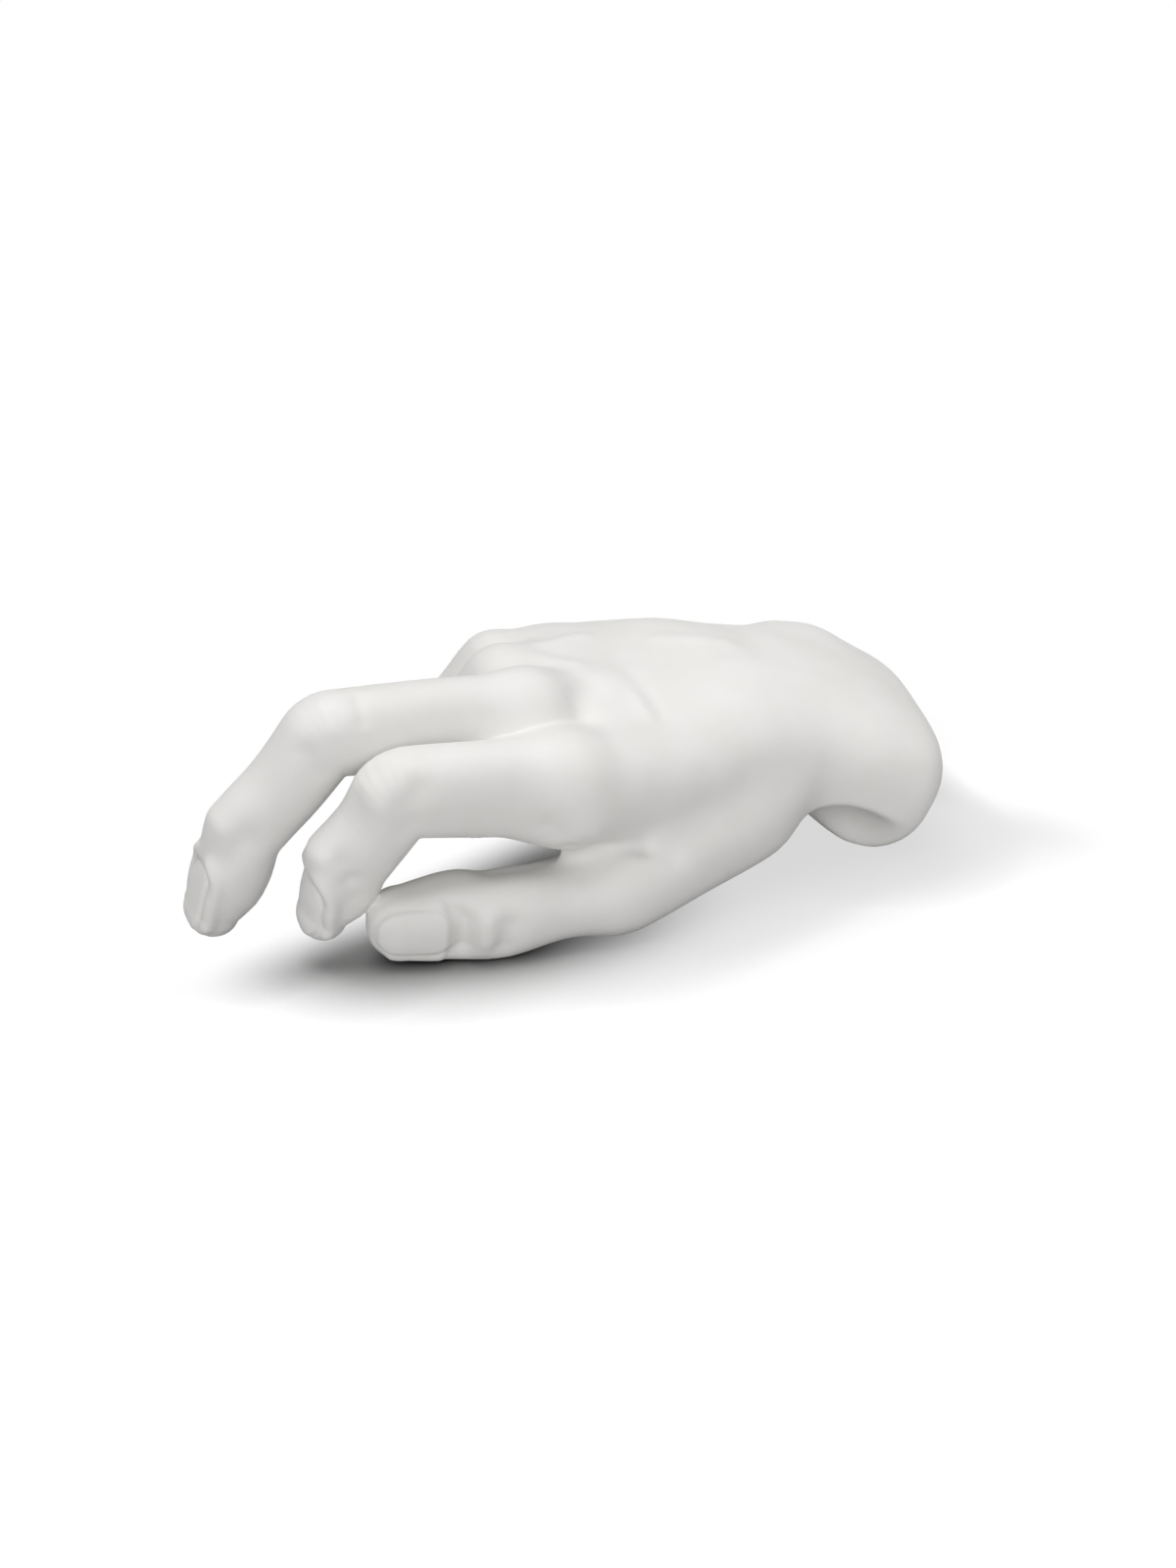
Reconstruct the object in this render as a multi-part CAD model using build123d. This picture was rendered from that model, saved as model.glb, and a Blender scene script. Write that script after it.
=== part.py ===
from build123d import *
import os
from dataclasses import dataclass
from math import cos, radians, sin, sqrt, tan

# Porcelain hand, palm down, as a slip-cast assembly. Sizes are in millimetres and degrees.
# The hand frame has X from the wrist to the knuckles, Y towards the thumb and Z out of the
# back of the hand. PLACE sets it down on the table, with the fingers towards -X.

# How the hand lies on the table
KNUCKLE_RISE = 8.0
THUMB_SIDE_DROP = 12.5
WRIST_HEIGHT = 31.5

# Casting and joints
WALL = 5.0
VENT_DIAMETER = 5.0
STUMP_LENGTH = 30.0
FINGER_SEAM = 17.0
THUMB_SEAM = 6.0

# Shape shared by the digits
WAIST = 0.94
METACARPAL_REACH = 22.0
METACARPAL_DROP = 16.0
METACARPAL_RADIUS = 7.0
TIP_STEPS = (0.0, 0.55, 0.85, 0.97)
JOINT_SPREAD = 1.1
JOINT_ROUNDING = 4.0

# Nails: depth below the skin, then width, length and corner as shares of the tip's half width
NAIL_RECESS = 0.8
NAIL_WIDTH_SHARE = 1.5
NAIL_ROOT_SHARE = 1.15
NAIL_CORNER_SHARE = 0.5


@dataclass
class Finger:
    knuckle: tuple
    spread: float
    bends: tuple
    lengths: tuple
    half_widths: tuple
    half_depths: tuple


# Knuckle centre, sideways spread, bends at knuckle, middle joint and end joint, bone lengths,
# then half width and half depth at those joints and at the tip
INDEX = Finger((78, 25.8, 4), -8.5, (3, 60, 16), (42, 22.5, 15.5), (10.4, 10.3, 9.4, 8.0), (13.0, 11.4, 9.7, 8.2))
MIDDLE = Finger((79, 3, 8), -4, (0.5, 61, 17), (53, 33, 23), (10.4, 10.3, 9.4, 8.0), (13.0, 11.2, 9.7, 8.2))
RING = Finger((72, -17, 4), -3, (55, 93, 50), (34, 18.5, 12), (10.2, 9.6, 8.5, 7.0), (12.0, 9.6, 8.4, 7.0))
LITTLE = Finger((64, -35, -3), -2, (47, 88, 40), (34, 20, 13), (9.6, 9.0, 8.0, 6.8), (11.5, 9.0, 7.9, 6.8))

# Thumb: heel inside the wrist, then root, and length, heading and rise of each bone
THUMB_HEEL = (-6, 8, -4)
THUMB_HEEL_RADIUS = 11.0
THUMB_ROOT = (18, 23, -10)
THUMB_BONES = ((46, 16, -15), (33, -5, -11), (22.5, -11, -9.5))
THUMB_HALF_WIDTHS = (16.5, 13.2, 11.3, 9.9)
THUMB_HALF_DEPTHS = (17.0, 13.2, 11.4, 9.2)


@dataclass
class Section:
    x: float
    y: float
    z: float
    half_width: float
    back: float
    palm: float
    arch: float
    slant: float


# Cross-sections of wrist and palm from the closed stump to the webs between the fingers
FULLNESS = 0.80
OUTLINE_POINTS = 8
STUMP_END = Section(-40.5, 12, -9, 20, 11, 10, 0, -10)
STUMP_RIM = Section(-36, 11, -8, 28.5, 18.5, 17, 0, -10)
STUMP = Section(-24, 7, -6, 32, 21.5, 21.5, 1, -10)
WRIST = Section(-3, 2, -1, 29, 19.5, 18, 2, -5)
CARPUS = Section(20, 0, 0, 32, 18.5, 18, 3, 0)
MID_PALM = Section(45, -3, -1, 37, 15.5, 17, 4, -6)
KNUCKLES = Section(64, -4, -3, 39, 13, 16, 5, -12)
WEBS = Section(80, -2, -7, 29, 9, 11, 5, -14)
WEB_EDGE = Section(88, -2, -9, 22, 5, 7, 3, -15)
PALM_SECTIONS = (STUMP_END, STUMP_RIM, STUMP, WRIST, CARPUS, MID_PALM, KNUCKLES, WEBS, WEB_EDGE)
CAVITY_SECTIONS = (STUMP_RIM, STUMP, WRIST, CARPUS, MID_PALM, KNUCKLES)

REACH = 400.0
TRIM_FLOOR = 0.01
PLACE = Pos(0, 0, WRIST_HEIGHT) * Rot(0, 0, 180) * Rot(0, -KNUCKLE_RISE, 0) * Rot(-THUMB_SIDE_DROP, 0, 0)


def palm_face(section, inset=0.0):
    """Closed outline across the palm, from its palm side round, arched towards the back."""
    lean = radians(section.slant)
    plane = Plane(
        origin=(section.x, section.y, section.z),
        x_dir=(-sin(lean), cos(lean), 0),
        z_dir=(cos(lean), sin(lean), 0),
    )
    half = section.half_width - inset
    points = []
    spacing = radians(360 / OUTLINE_POINTS)
    for step in range(OUTLINE_POINTS):
        turn = spacing * step - radians(90)
        reach = FULLNESS / cos(spacing) if step % 2 else 1.0
        side = cos(turn) * reach
        height = section.back if sin(turn) > 0 else section.palm
        points.append((half * side, (height - inset) * sin(turn) * reach + section.arch * (1 - side * side)))
    return PLACE * (plane * make_face(Spline(*points, periodic=True)))


def oval(centre, along, lateral, half_width, half_depth):
    """Section across a digit."""
    plane = Plane(origin=centre, x_dir=lateral, z_dir=along)
    return PLACE * (plane * Ellipse(half_width, half_depth))


def digit(root, root_radius, joints, lateral, widths, depths, seam_bone, seam_distance):
    """Digit past its luted seam, and the stub before the seam that is cast with the palm."""
    chain = [root] + joints
    runs = [(end - start).normalized() for start, end in zip(chain, chain[1:])]

    def joint_face(i):
        along = runs[i] + runs[i + 1] if i + 1 < len(runs) else runs[i]
        return oval(joints[i], along.normalized(), lateral, widths[i], depths[i])

    def waist_face(i, share):
        width = (widths[i] + (widths[i + 1] - widths[i]) * share) * WAIST
        depth = (depths[i] + (depths[i + 1] - depths[i]) * share) * WAIST
        return oval(joints[i] + (joints[i + 1] - joints[i]) * share, runs[i + 1], lateral, width, depth)

    stub_spans = [[oval(root, runs[0], lateral, root_radius, root_radius), joint_face(0)]]
    for i in range(seam_bone):
        stub_spans.append([joint_face(i), joint_face(i + 1)])
    seam = waist_face(seam_bone, seam_distance / (joints[seam_bone + 1] - joints[seam_bone]).length)
    stub_spans.append([joint_face(seam_bone), seam])
    piece_spans = []
    bone_start = seam
    for i in range(seam_bone + 1, len(joints) - 1):
        half_bend = radians(runs[i].get_angle(runs[i + 1]) / 2)
        reach = max(depths[i] * tan(half_bend) * JOINT_SPREAD, JOINT_ROUNDING)
        before = waist_face(i - 1, 1 - reach / (joints[i] - joints[i - 1]).length)
        after = waist_face(i, reach / (joints[i + 1] - joints[i]).length)
        piece_spans += [[bone_start, before], [before, joint_face(i), after]]
        bone_start = after
    piece_spans.append([bone_start, joint_face(len(joints) - 1)])
    dome = []
    for depth in TIP_STEPS:
        shrink = sqrt(1 - depth * depth)
        centre = joints[-1] + runs[-1] * (depths[-1] * depth)
        dome.append(oval(centre, runs[-1], lateral, widths[-1] * shrink, depths[-1] * shrink))
    piece_spans.append(dome)
    piece = joined(piece_spans) - nail_pocket(joints[-1], runs[-1], lateral, widths[-1], depths[-1])
    return piece, joined(stub_spans)


def nail_pocket(tip, run, lateral, half_width, half_depth):
    """What is cut from the back of a tip, down to the curved plate of its nail."""
    root = half_width * NAIL_ROOT_SHARE
    length = root + 2 * half_depth
    plan = RectangleRounded(length, half_width * NAIL_WIDTH_SHARE, half_width * NAIL_CORNER_SHARE)
    over = Plane(origin=tip, x_dir=run, z_dir=run.cross(lateral))
    block = over * Pos(length / 2 - root, 0, 0) * extrude(plan, 2 * half_depth)
    across = Plane(origin=tip - run * (2 * root), x_dir=lateral, z_dir=run)
    plate = across * extrude(Ellipse(half_width - NAIL_RECESS, half_depth - NAIL_RECESS), root + 2 * length)
    return PLACE * (block - plate)


def joined(spans):
    """One solid of consecutive lofts that share their end faces."""
    body = loft(spans[0])
    for span in spans[1:]:
        body = body + loft(span)
    return body


def finger_chain(finger):
    """Joint centres of a finger that bends about its own sideways axis."""
    lean = radians(finger.spread)
    lateral = Vector(-sin(lean), cos(lean), 0)
    points = [Vector(*finger.knuckle)]
    bend = 0.0
    for length, more in zip(finger.lengths, finger.bends):
        bend += more
        run = Vector(cos(lean), sin(lean), 0).rotate(Axis((0, 0, 0), lateral), bend)
        points.append(points[-1] + run * length)
    return points, lateral


def thumb_chain():
    """Joint centres of the thumb, which lies on its side."""
    points = [Vector(*THUMB_ROOT)]
    for length, heading, rise in THUMB_BONES:
        turn, lift = radians(heading), radians(rise)
        run = Vector(cos(turn) * cos(lift), sin(turn) * cos(lift), sin(lift))
        points.append(points[-1] + run * length)
    return points


def clear_of(piece, keeper):
    """Piece cut back where it runs into its neighbour."""
    shared = piece & keeper
    return piece - keeper if shared and shared.volume > TRIM_FLOOR else piece


def beyond(point, direction):
    """Half space on the far side of a seam plane."""
    plane = Plane(origin=point, z_dir=direction)
    return PLACE * (plane * Pos(0, 0, REACH / 2) * Box(REACH, REACH, REACH))


digits = {}
stubs = {}
fingers = {"index_finger": INDEX, "middle_finger": MIDDLE, "ring_finger": RING, "little_finger": LITTLE}
for name, finger in fingers.items():
    joints, lateral = finger_chain(finger)
    start = Vector(*finger.knuckle) - Vector(METACARPAL_REACH, 0, METACARPAL_DROP)
    sizes = finger.half_widths, finger.half_depths
    digits[name], stubs[name] = digit(start, METACARPAL_RADIUS, joints, lateral, *sizes, 0, FINGER_SEAM)

thumb_joints = thumb_chain()
thumb_bone = (thumb_joints[2] - thumb_joints[1]).normalized()
thumb_lateral = Vector(0, 0, 1).cross(thumb_bone).cross(thumb_bone).normalized()
sizes = THUMB_HALF_WIDTHS, THUMB_HALF_DEPTHS
digits["thumb"], stubs["thumb"] = digit(
    Vector(*THUMB_HEEL), THUMB_HEEL_RADIUS, thumb_joints, thumb_lateral, *sizes, 1, THUMB_SEAM
)

# Everything below the table is ground away, so that the hand rests on flats
table = Pos(0, 0, -REACH / 2) * Box(REACH, REACH, REACH)
body = loft([palm_face(section) for section in PALM_SECTIONS])
pieces = {}
for name, piece in digits.items():
    neighbours = [stub for other, stub in stubs.items() if other != name]
    for keeper in [table, body, *neighbours, *pieces.values()]:
        piece = clear_of(piece, keeper)
    pieces[name] = piece
for stub in stubs.values():
    body = body + stub
body = body - table

body = body - loft([palm_face(section, WALL) for section in CAVITY_SECTIONS])
stump_run = Vector(cos(radians(STUMP.slant)), sin(radians(STUMP.slant)), 0)
stump_end = Vector(STUMP_END.x, STUMP_END.y, STUMP_END.z)
palm_side = beyond(stump_end + stump_run * STUMP_LENGTH, stump_run)
vent = PLACE * (Plane(origin=stump_end, z_dir=stump_run) * Cylinder(VENT_DIAMETER / 2, 2 * STUMP_LENGTH))
pieces["palm_shell"] = body & palm_side
pieces["wrist_stump"] = body - palm_side - vent

# Centred on its own footprint, to the nearest tenth of a millimetre
boxes = [piece.bounding_box() for piece in pieces.values()]
middle_x = round((min(box.min.X for box in boxes) + max(box.max.X for box in boxes)) / 2, 1)
middle_y = round((min(box.min.Y for box in boxes) + max(box.max.Y for box in boxes)) / 2, 1)

os.makedirs("parts", exist_ok=True)
for name, piece in pieces.items():
    export_step(Pos(-middle_x, -middle_y, 0) * piece, f"parts/{name}.step")
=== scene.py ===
import math
from collections import namedtuple

import bmesh
import bpy
import numpy as np
import openvdb
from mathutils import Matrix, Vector


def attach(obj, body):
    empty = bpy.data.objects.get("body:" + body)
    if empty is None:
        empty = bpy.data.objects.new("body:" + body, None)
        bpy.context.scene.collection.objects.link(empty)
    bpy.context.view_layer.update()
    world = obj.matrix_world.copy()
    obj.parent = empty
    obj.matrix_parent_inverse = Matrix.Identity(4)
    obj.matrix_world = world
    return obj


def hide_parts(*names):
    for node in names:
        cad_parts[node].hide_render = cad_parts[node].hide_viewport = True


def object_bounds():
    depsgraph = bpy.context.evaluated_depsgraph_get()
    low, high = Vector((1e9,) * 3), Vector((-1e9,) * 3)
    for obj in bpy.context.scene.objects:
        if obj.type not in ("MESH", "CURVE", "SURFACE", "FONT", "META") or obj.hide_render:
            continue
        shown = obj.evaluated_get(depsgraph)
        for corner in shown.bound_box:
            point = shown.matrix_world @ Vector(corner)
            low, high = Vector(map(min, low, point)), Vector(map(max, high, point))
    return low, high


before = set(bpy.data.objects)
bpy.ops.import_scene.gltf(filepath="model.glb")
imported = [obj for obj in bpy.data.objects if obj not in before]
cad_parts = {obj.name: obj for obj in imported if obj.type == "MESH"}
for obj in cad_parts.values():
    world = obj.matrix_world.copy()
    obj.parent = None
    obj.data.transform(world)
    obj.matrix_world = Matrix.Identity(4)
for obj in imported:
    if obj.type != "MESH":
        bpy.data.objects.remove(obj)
cad_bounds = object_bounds()

# The hand is sculpted as one distance field, in millimetres, in the hand's own frame: X from the
# wrist to the knuckles, Y towards the thumb, Z out of the back. It is then set on the table.
MM = 0.001
VOXEL = 0.6
FAR = 40.0
TINY = 1e-6
LEAST_RATIO = 1e-3

KNUCKLE_RISE = 8.0
THUMB_SIDE_DROP = 12.5
WRIST_HEIGHT = 31.5
FOOTPRINT_SHIFT = (60.6, -4.3)

# Knuckle centre, sideways spread, bends at the three joints and bone lengths; then half width, depth
# of the back and depth of the palm side at each station. Stations count the joints from the knuckle,
# 0, over the middle joint, 1, and the end joint, 2, to the tip, 3.
FINGER_STATIONS = (0.0, 0.5, 1.0, 1.5, 2.0, 2.45, 2.75, 3.0)
FINGERS = {
    "index_finger": {
        "knuckle": (78, 25.8, 4), "spread": -8.5, "bends": (3, 60, 16), "lengths": (42, 22.5, 15.5),
        "wide": (10.6, 9.7, 10.1, 9.2, 9.2, 8.8, 8.2, 7.0),
        "back": (13.0, 13.1, 12.0, 9.4, 9.8, 7.7, 7.0, 6.0),
        "palm": (13.0, 11.8, 10.4, 11.0, 11.2, 11.4, 9.8, 6.8),
    },
    "middle_finger": {
        "knuckle": (79, 3, 8), "spread": -4, "bends": (0.5, 61, 17), "lengths": (53, 33, 23.6),
        "wide": (10.6, 9.7, 10.1, 9.2, 9.2, 8.8, 8.2, 7.0),
        "back": (13.2, 12.6, 10.1, 8.8, 10.0, 7.8, 7.2, 6.4),
        "palm": (13.0, 11.6, 10.6, 11.0, 9.6, 11.0, 10.4, 7.6),
    },
    "ring_finger": {
        "knuckle": (72, -17, 4), "spread": -3, "bends": (55, 93, 50), "lengths": (34, 18.5, 12),
        "wide": (10.2, 9.2, 9.6, 8.6, 8.5, 8.2, 7.6, 6.4),
        "back": (11.8, 9.4, 9.8, 7.2, 6.7, 6.2, 5.8, 5.2),
        "palm": (12.4, 9.6, 9.0, 8.8, 8.2, 8.6, 8.2, 6.8),
    },
    "little_finger": {
        "knuckle": (64, -35, -3), "spread": -2, "bends": (47, 88, 40), "lengths": (34, 20, 13),
        "wide": (8.8, 7.8, 7.9, 7.2, 7.2, 6.8, 6.3, 5.5),
        "back": (11.0, 8.6, 9.2, 7.6, 7.8, 6.4, 5.6, 4.8),
        "palm": (11.4, 8.8, 8.4, 8.0, 7.6, 7.8, 7.4, 6.2),
    },
}
FINGER_FILLET = 8.0

# Metacarpals: height over the knuckle centre and radius there. They run together towards the wrist.
# The span of a shape, here and below, is how far from its middle line it is worked into the clay.
METACARPALS = {
    "index_finger": (0.6, 11.6),
    "middle_finger": (0.6, 11.6),
    "ring_finger": (-1.6, 10.8),
    "little_finger": (-1.4, 10.0),
}
METACARPAL_START = 26.0
METACARPAL_START_HEIGHT = 2.4
METACARPAL_START_RADIUS = 11.0
METACARPAL_START_SPREAD = 0.62
METACARPAL_SETBACK = 2.0
METACARPAL_FILLET = 10.0
METACARPAL_SPAN = 12.0

# Webs between neighbouring knuckles: how far each goes past them and how far it drops
WEB_REACHES = (10.5, 10.0, 7.0)
WEB_DROPS = (2.5, 5.0, 7.0)
WEB_START = (-6, 0, -2)
WEB_RADII = (8.5, 6.5)
WEB_FILLET = 5.0
WEB_SPAN = 10.0

# Flesh beside the index finger's metacarpal, and the wrist bone on the little finger's side: both
# ends and the radius at each
INDEX_FLESH = ((40, 22, 0), (71, 26.5, 3), 11.0, 10.8)
INDEX_FLESH_FILLET = 8.0
INDEX_FLESH_SPAN = 14.0
WRIST_BONE = ((-17, -16, 4.0), (-11, -17, 4.2), 11.5, 11.5)
WRIST_BONE_CROWN = (-13, -17, 9)
WRIST_BONE_FILLET = 7.0
WRIST_BONE_SPAN = 12.0

# Thumb: heel in the wrist, root, then length, heading and rise of each bone; it lies on its side,
# so its back, with the nail, faces away from the palm
THUMB_HEEL = (-6, 8, -4)
THUMB_ROOT = (18, 23, -10)
THUMB_BONES = ((46, 16, -15), (33, -5, -11), (22.5, -11, -9.5))
THUMB_STATIONS = (0.0, 1.0, 1.5, 2.0, 2.4, 2.95, 3.5, 4.0)
THUMB_WIDE = (9.0, 15.0, 14.0, 12.6, 9.8, 11.4, 10.8, 9.2)
THUMB_BACK = (9.0, 15.0, 14.0, 13.0, 11.0, 11.6, 9.0, 7.0)
THUMB_PALM = (9.0, 16.0, 14.5, 13.2, 11.6, 11.4, 11.6, 9.4)
THUMB_FILLET = 6.0
DIGIT_CREASE = 0.6

# Sections of wrist and palm: x, y, z, half width, back, palm, arch, slant
PALM_SECTIONS = (
    (-46, 13.5, -9, 27, 17.5, 9, 0, -10),
    (-36, 11, -8, 30.5, 19.8, 15, 0, -10),
    (-24, 7, -6, 32, 21.5, 21.5, 1, -10),
    (-3, 2, -1, 29, 19.5, 18, 2, -5),
    (20, 0, 0, 32, 18.5, 18, 3, 0),
    (45, -3, -1, 36.5, 14.4, 17, 4, -6),
    (64, -4, -3, 39, 13, 16, 5, -12),
    (80, -2, -7, 29, 9, 11, 5, -14),
    (88, -2, -9, 22, 5, 7, 3, -15),
    (94, -2, -10, 17, 2, 3, 2, -15),
)
PALM_POWER = 2.8
PALM_STEPS = 300
PALM_SLANT_ROUNDS = 4
PALM_END_DEPTH = 3
PALM_FILLET = 1.0
PALM_SPAN = 45.0

# Cut end of the wrist, the hollow under its lip on the thumb's side, with the radius at each place,
# and the kiln vent
STUMP_END = (-40.5, 12, -9)
STUMP_SLANT = -10
STUMP_TRIM = 2.1
STUMP_RIM_ROUNDING = 12.0
STUMP_LEAN = 0.24
STUMP_HOLLOW = ((-2, 29, -21, 11.0), (-9, 35.5, -18, 11.0), (-19, 44, -15.5, 7.0))
STUMP_HOLLOW_FILLET = 3.0
STUMP_HOLLOW_SPAN = 14.0
STUMP_SPAN = 60.0
VENT_RADIUS = 2.5
VENT_DEPTH = 9.0
VENT_FILLET = 0.8
VENT_SPAN = VENT_RADIUS + 4.0

# Seams: how far past its lower joint each digit is luted on, and where the wrist cup ends; how far
# from its middle a seam is cut, in which band, and how flat its rim has to be to get a cap; then the
# fewest faces of a patch and how far from a digit's path its skin is looked for
FINGER_SEAM = 17.0
THUMB_SEAM = 6.0
STUMP_LENGTH = 30.0
DIGIT_SEAM_SPAN = 22.0
STUMP_SEAM_SPAN = 60.0
SEAM_BAND = 2 * VOXEL
SEAM_SNAP = 0.02 * VOXEL
SEAM_FLATNESS = 0.5
SMALLEST_PATCH = 400
PATH_STRIDE = 4
DIGIT_MARGIN = 6.0
OUT_OF_REACH = 60.0

# Nails: station of the root, angle of the middle line, half width round the tip, length and corner;
# how proud the plate stands, how deep the skin sinks behind it and how much of the fold there is on
# the side towards the little finger; then how far the plate's sides turn up and the fold's height
Nail = namedtuple("Nail", "root middle half length corner proud sink inner upturn fold")
NAILS = {
    "index_finger": Nail(2.37, 0, 8.2, 16.0, 4.0, -0.3, 0.0, 1.0, 0.7, 1.5),
    "middle_finger": Nail(2.46, 0, 5.4, 19.0, 3.4, -0.3, 0.0, 1.0, 0.7, 1.5),
    "ring_finger": Nail(2.40, 0, 6.8, 14.0, 3.4, -0.3, 0.0, 1.0, 0.7, 1.5),
    "little_finger": Nail(2.40, 0, 6.2, 13.0, 3.2, -0.3, 0.0, 0.2, 0.7, 1.5),
    "thumb": Nail(3.57, -9, 7.3, 17.6, 4.2, 0.45, 2.5, 0.15, 0.2, 0.8),
}
NAIL_REACH = 1.5
PLATE_SOFTNESS = 0.9
FREE_EDGE, FREE_EDGE_SOFTNESS = 1.5, 3.0
GROOVE_DEPTH, GROOVE_PLACE, GROOVE_WIDTH, GROOVE_FADE = 0.7, 0.1, 0.75, 4.0
FOLD_BASE, FOLD_PLACE, FOLD_WIDTH = 0.1, 2.4, 1.9
TIP_DEPTH, TIP_PLACE, TIP_WIDTH = 0.2, 0.8, 0.9
BEHIND_PLACE, BEHIND_SOFTNESS, BEHIND_WIDTH = 2.0, 2.5, 1.6
SINK_PLACE, SINK_WIDTH, SINK_EDGE, SINK_SOFTNESS = 3.2, 3.0, 0.8, 1.6

# Strokes of the modelling tool on the skin: path, reach and height, hollows below zero
STROKES = (
    # Back of the hand and wrist
    (((48.3, 0, 18.2), (48.3, 5.5, 17.9), (47.2, 12, 16.8), (47.4, 18.3, 15.9)), 2.8, -0.35),
    (((50.8, 10.0, 17.0), (50.8, 16.5, 15.7)), 2.6, 0.5),
    (((61, 31, 8), (50, 31, 6)), 8.0, 1.5),
    (((4, 29, 4), (-8, 31, 3)), 9.0, 1.6),
    (((62.5, 5.3, 17.5), (68.4, 9.0, 16.1), (68.9, 13.4, 14.7)), 4.5, -1.2),
    (((66.3, -11.2, 15.1), (60.7, -6.1, 16.8)), 3.0, 0.8),
    (((61.9, -19.6, 14.7), (49.6, -21.2, 15.7)), 2.6, 0.6),
    (((32.7, -12.8, 19.2), (16.1, -5.8, 21.5)), 3.0, 0.5),
    (((7.2, -14.0, 20.2), (7.2, -6.0, 21.0)), 7.0, -0.7),
    # Crease between thumb and index finger
    (((77.7, 35.4, -7.0), (64.4, 35.3, -8.7), (56.3, 38.7, -8.4)), 2.2, -1.5),
    (((56.3, 38.7, -8.4), (50.5, 42.0, -8.8)), 3.2, -0.8),
    # Root of the index finger
    (((85.5, 36.5, 0.0), (83.5, 36.8, -1.5)), 3.2, -0.9),
    (((76.5, 38.8, -0.5), (74.5, 38.9, 0.0)), 3.0, 0.5),
    # End joints of index finger, middle finger and thumb
    (((138.7, 16.8, -16.9), (137.9, 21.7, -14.9)), 2.8, 0.5),
    (((134.6, 25.4, -14.1), (132.5, 26.3, -17.5)), 3.6, -1.2),
    (((130.5, 27.0, -19.5), (129.0, 27.2, -23.0)), 3.8, -1.4),
    (((154.7, 4.9, -24.2), (151.2, 6.5, -18.4)), 4.0, -1.6),
    (((98.8, 41.0, -24.0), (98.6, 42.0, -30.0)), 2.4, 0.7),
    (((93.6, 42.6, -25.0), (93.8, 43.0, -30.5)), 3.4, -1.7),
)

# The same on a digit: its name, then stations and angles from the middle of its back, reach, height
DIGIT_STROKES = (
    ("thumb", ((2.3, -118), (2.95, -118)), 6.0, -2.4),
    ("index_finger", ((0.95, 55), (1.04, 72), (1.1, 95)), 3.8, -1.0),
    ("index_finger", ((1.1, 20), (1.12, 48)), 3.0, 0.6),
    ("middle_finger", ((1.0, 5), (1.0, 50)), 2.2, 0.5),
    ("middle_finger", ((0.88, 5), (0.88, 45)), 1.8, -0.5),
    ("middle_finger", ((1.12, 55), (1.2, 80)), 3.4, -1.0),
    ("index_finger", ((2.0, -20), (2.0, 25)), 2.6, 0.5),
    ("middle_finger", ((2.0, -20), (2.0, 25)), 2.6, 0.5),
)
STROKE_SPAN = 3
FOOT_FADE = 2.0

# Bisque: the two tones of the clay, and its grain
CLAY_SHADE = (0.775, 0.765, 0.745, 1)
CLAY_TINT = (0.81, 0.80, 0.785, 1)
CLAY_ROUGHNESS = 0.62
CLAY_SPECULAR = 0.35
CLOUD_SCALE = 60.0
CLOUD_DETAIL = 4.0
CLOUD_RANGE = (0.35, 0.65)
GRAIN_SCALE = 2200.0
GRAIN_DETAIL = 3.0
GRAIN_STRENGTH = 0.05
GRAIN_DEPTH = 0.0002

# Floor, in metres: the grey that it throws back on the hand, and its contact shadow, painted as shade into
# its colour by ambient occlusion
FLOOR_HALF = 6.0
FLOOR_ROUGHNESS = 0.9
FLOOR_BOUNCE = (0.45, 0.45, 0.45, 1)
PAINTED_CONTACT_SHADE_REACH = 0.03
PAINTED_CONTACT_SHADE_POWER = 1.5
# The photo's background is cut out to white behind and left of the thumb, and its shadow is a light,
# even grey from the middle of the hand to past the wrist. Each soft line across the floor has a
# direction, where along it the change starts and is full, and the most it comes to.
# Painted light: white emission over the floor for the camera, which hides the hand's shadow behind and left
# of the thumb
PAINTED_WHITE_LINE = ((-0.3, 1.0, 0.0), 0.004, 0.029, 1.0)
# Painted shadow: a light, even grey emission laid over the floor for the camera, in place of part of its
# rendered shade
PAINTED_SHADOW_LINES = (
    ((0.870, -0.492, 0.0), -0.014, 0.050, 0.85),
    ((-0.145, 0.990, 0.0), -0.094, -0.054, 1.0),
    ((-0.904, -0.427, 0.0), -0.112, -0.086, 1.0),
)
PAINTED_SHADOW_LEVEL = 0.80
PAINTED_WHITE_LEVEL = 1.0

# Lamps: direction on the floor, elevation in degrees, strength, softness in degrees
SKY_LEVEL = 0.16
LAMPS = {
    "key": ((0.23, 1.0), 78.0, 2.08, 50.0),
    "fill": ((-0.58, -0.81), 24.0, 1.5, 60.0),
    "side": ((0.75, -0.66), 30.0, 0.22, 60.0),
}

# Camera, fitted to the photo's outline
CAMERA_AZIMUTH = -29.5
CAMERA_PITCH = 26.0
CAMERA_DISTANCE = 0.900
CAMERA_TARGET = (0.03257, 0.04274, -0.0015)
CAMERA_LENS = 74.25


def turn(axis, degrees):
    """Rotation matrix about one axis."""
    c, s = math.cos(math.radians(degrees)), math.sin(math.radians(degrees))
    i, j = {"x": (1, 2), "y": (2, 0), "z": (0, 1)}[axis]
    matrix = np.eye(3)
    matrix[i, i], matrix[i, j], matrix[j, i], matrix[j, j] = c, -s, s, c
    return matrix


PLACE_TURN = turn("z", 180) @ turn("y", -KNUCKLE_RISE) @ turn("x", -THUMB_SIDE_DROP)
PLACE_MOVE = np.array((*FOOTPRINT_SHIFT, WRIST_HEIGHT))


def to_row(points):
    """From the hand's frame to the part's frame on the table."""
    return np.asarray(points) @ PLACE_TURN.T + PLACE_MOVE


def to_hand(points):
    return (points - PLACE_MOVE) @ PLACE_TURN


def unit(vector):
    return vector / np.linalg.norm(vector, axis=-1, keepdims=True)


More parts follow.
